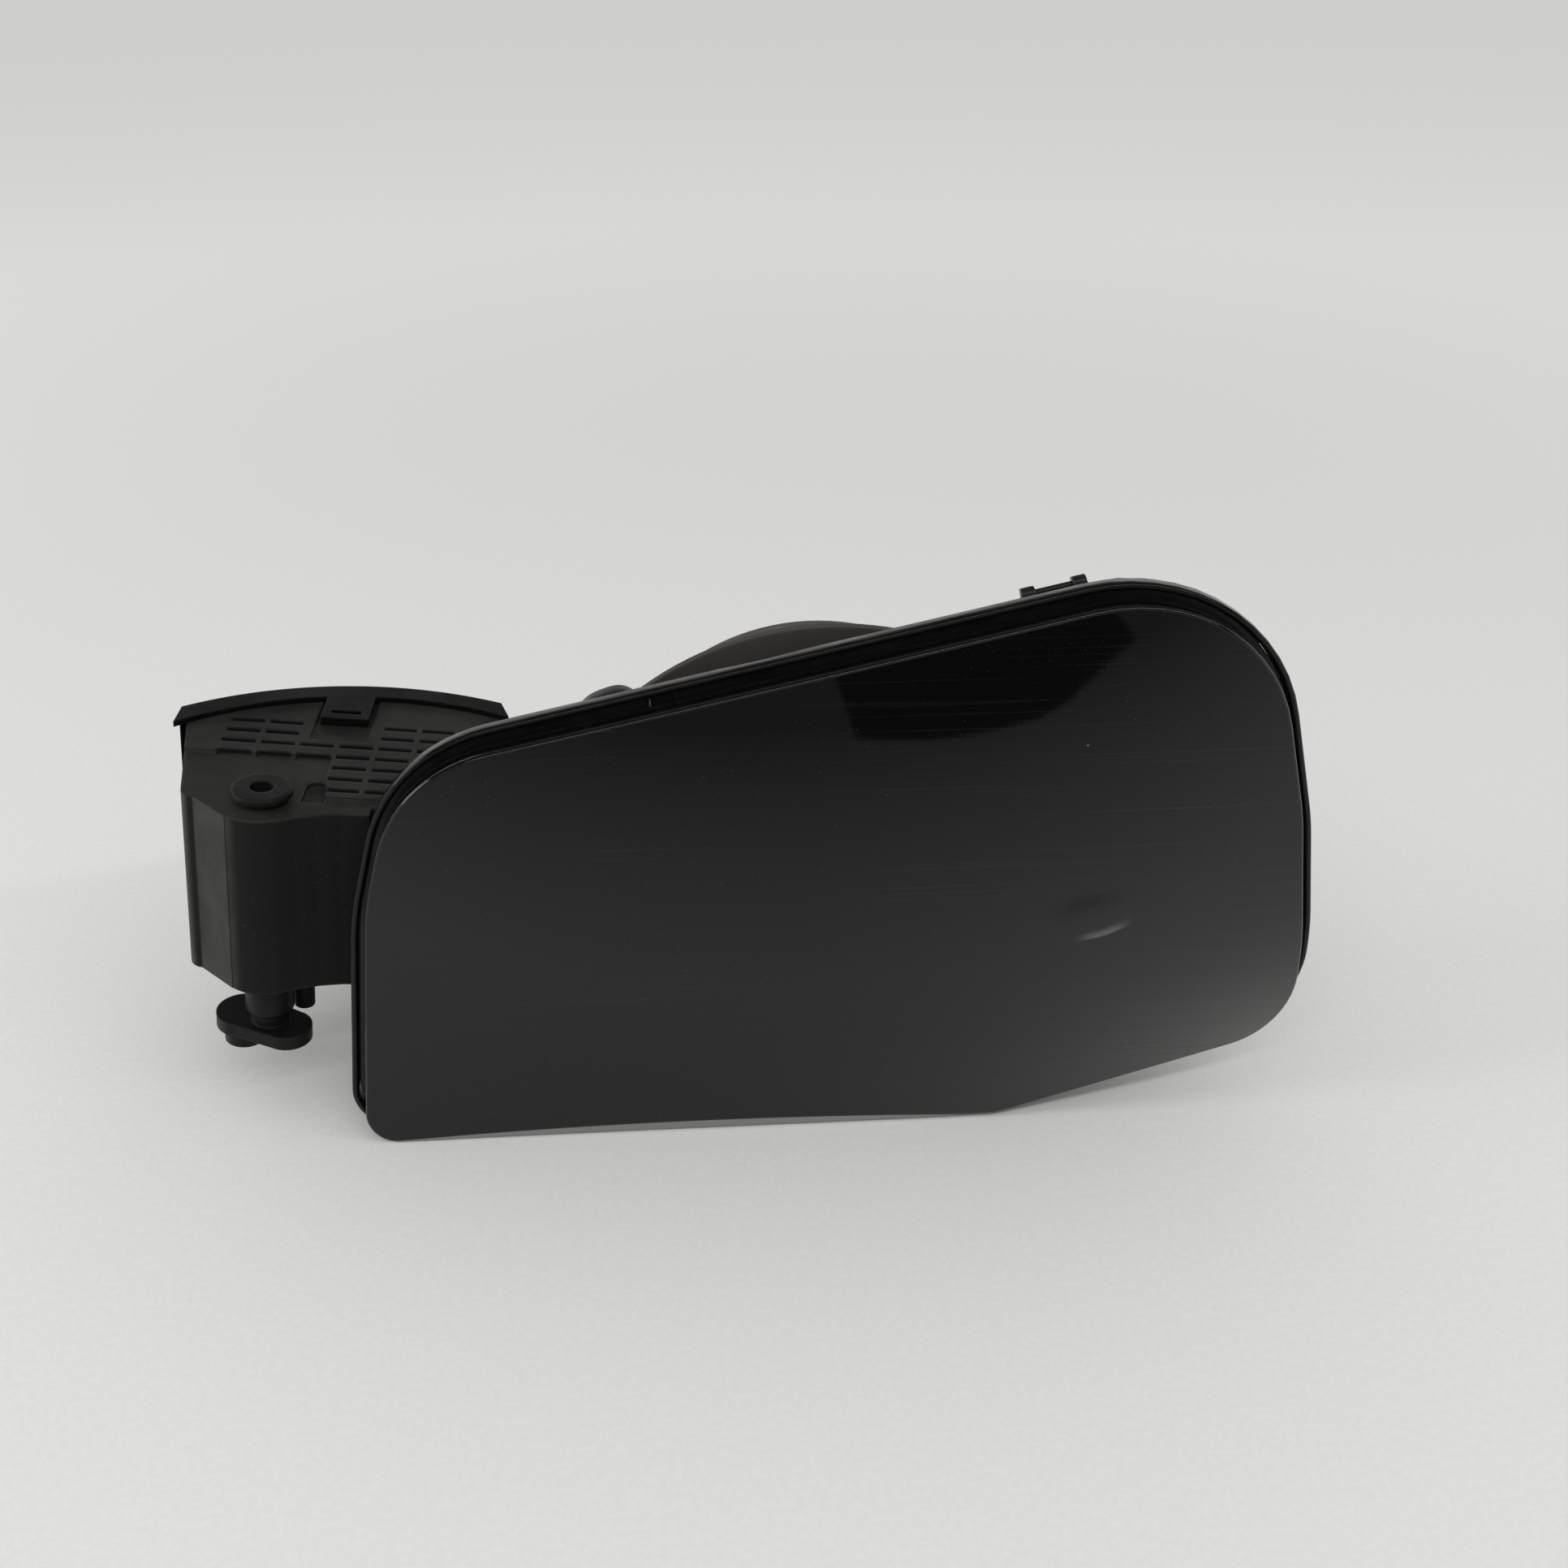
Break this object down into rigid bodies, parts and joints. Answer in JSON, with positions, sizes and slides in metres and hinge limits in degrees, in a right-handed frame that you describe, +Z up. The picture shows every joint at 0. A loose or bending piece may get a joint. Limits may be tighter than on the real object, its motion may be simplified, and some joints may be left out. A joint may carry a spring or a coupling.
{
  "type": "car fuel door",
  "caption": "Painted car fuel door on a gooseneck hinge, with its flanged pot, soft edge seal, ribbed hinge pocket, filler bowl, neck collar and locking bolt",
  "frame": {"origin": "On the axis of the filler neck, at the back face of the bowl", "axes": "+X to the right along the door, +Y from the door's face to the back along the neck, +Z up"},
  "size_m": [0.2612, 0.0756, 0.1297],
  "materials": {
    "paint": "gloss black paint with fine wipe scratches",
    "panel_plastic": "fine grained moulded plastic",
    "housing_plastic": "dusty matte black plastic",
    "pocket_plastic": "dusty matte black plastic with moulded slots",
    "bowl_plastic": "smooth brown grey plastic, dusty",
    "seal_rubber": "satin soft rubber",
    "collar_rubber": "matte soft rubber",
    "bush_plastic": "worn sliding plastic",
    "pin_steel": "drawn steel",
    "spring_steel": "blued spring steel",
    "screw_steel": "zinc coated steel",
    "bolt_plastic": "smooth white engineering plastic"
  },
  "bodies": {
    "housing": {"pot_housing": "housing_plastic", "edge_seal": "seal_rubber", "filler_bowl": "bowl_plastic", "neck_collar": "collar_rubber", "hinge_pocket": "pocket_plastic", "pocket_rear_cover": "pocket_plastic", "hinge_pin": "pin_steel", "upper_bush": "bush_plastic", "lower_bush": "bush_plastic", "pin_retainer": "bush_plastic", "hinge_spring": "spring_steel", "body_clips": "housing_plastic", "bump_stops": "collar_rubber", "lock_actuator": "housing_plastic", "actuator_screws": "screw_steel", "drain_nipple": "housing_plastic"},
    "door": {"door_skin": "paint", "inner_panel": "panel_plastic", "hinge_arm": "panel_plastic", "arm_screws": "screw_steel", "striker": "panel_plastic", "cap_holder": "panel_plastic"},
    "bolt": {"lock_bolt": "bolt_plastic"}
  },
  "joints": [
    {"name": "door_hinge", "type": "hinge", "parent": "housing", "child": "door", "pos_m": [-0.12882, -0.042, 0.002], "axis": [-0.1097, 0, -0.994], "range_deg": [0, 95]},
    {"name": "lock_slide", "type": "slide", "parent": "housing", "child": "bolt", "axis": [0, 0, -1], "range_m": [0, 0.008]}
  ]
}
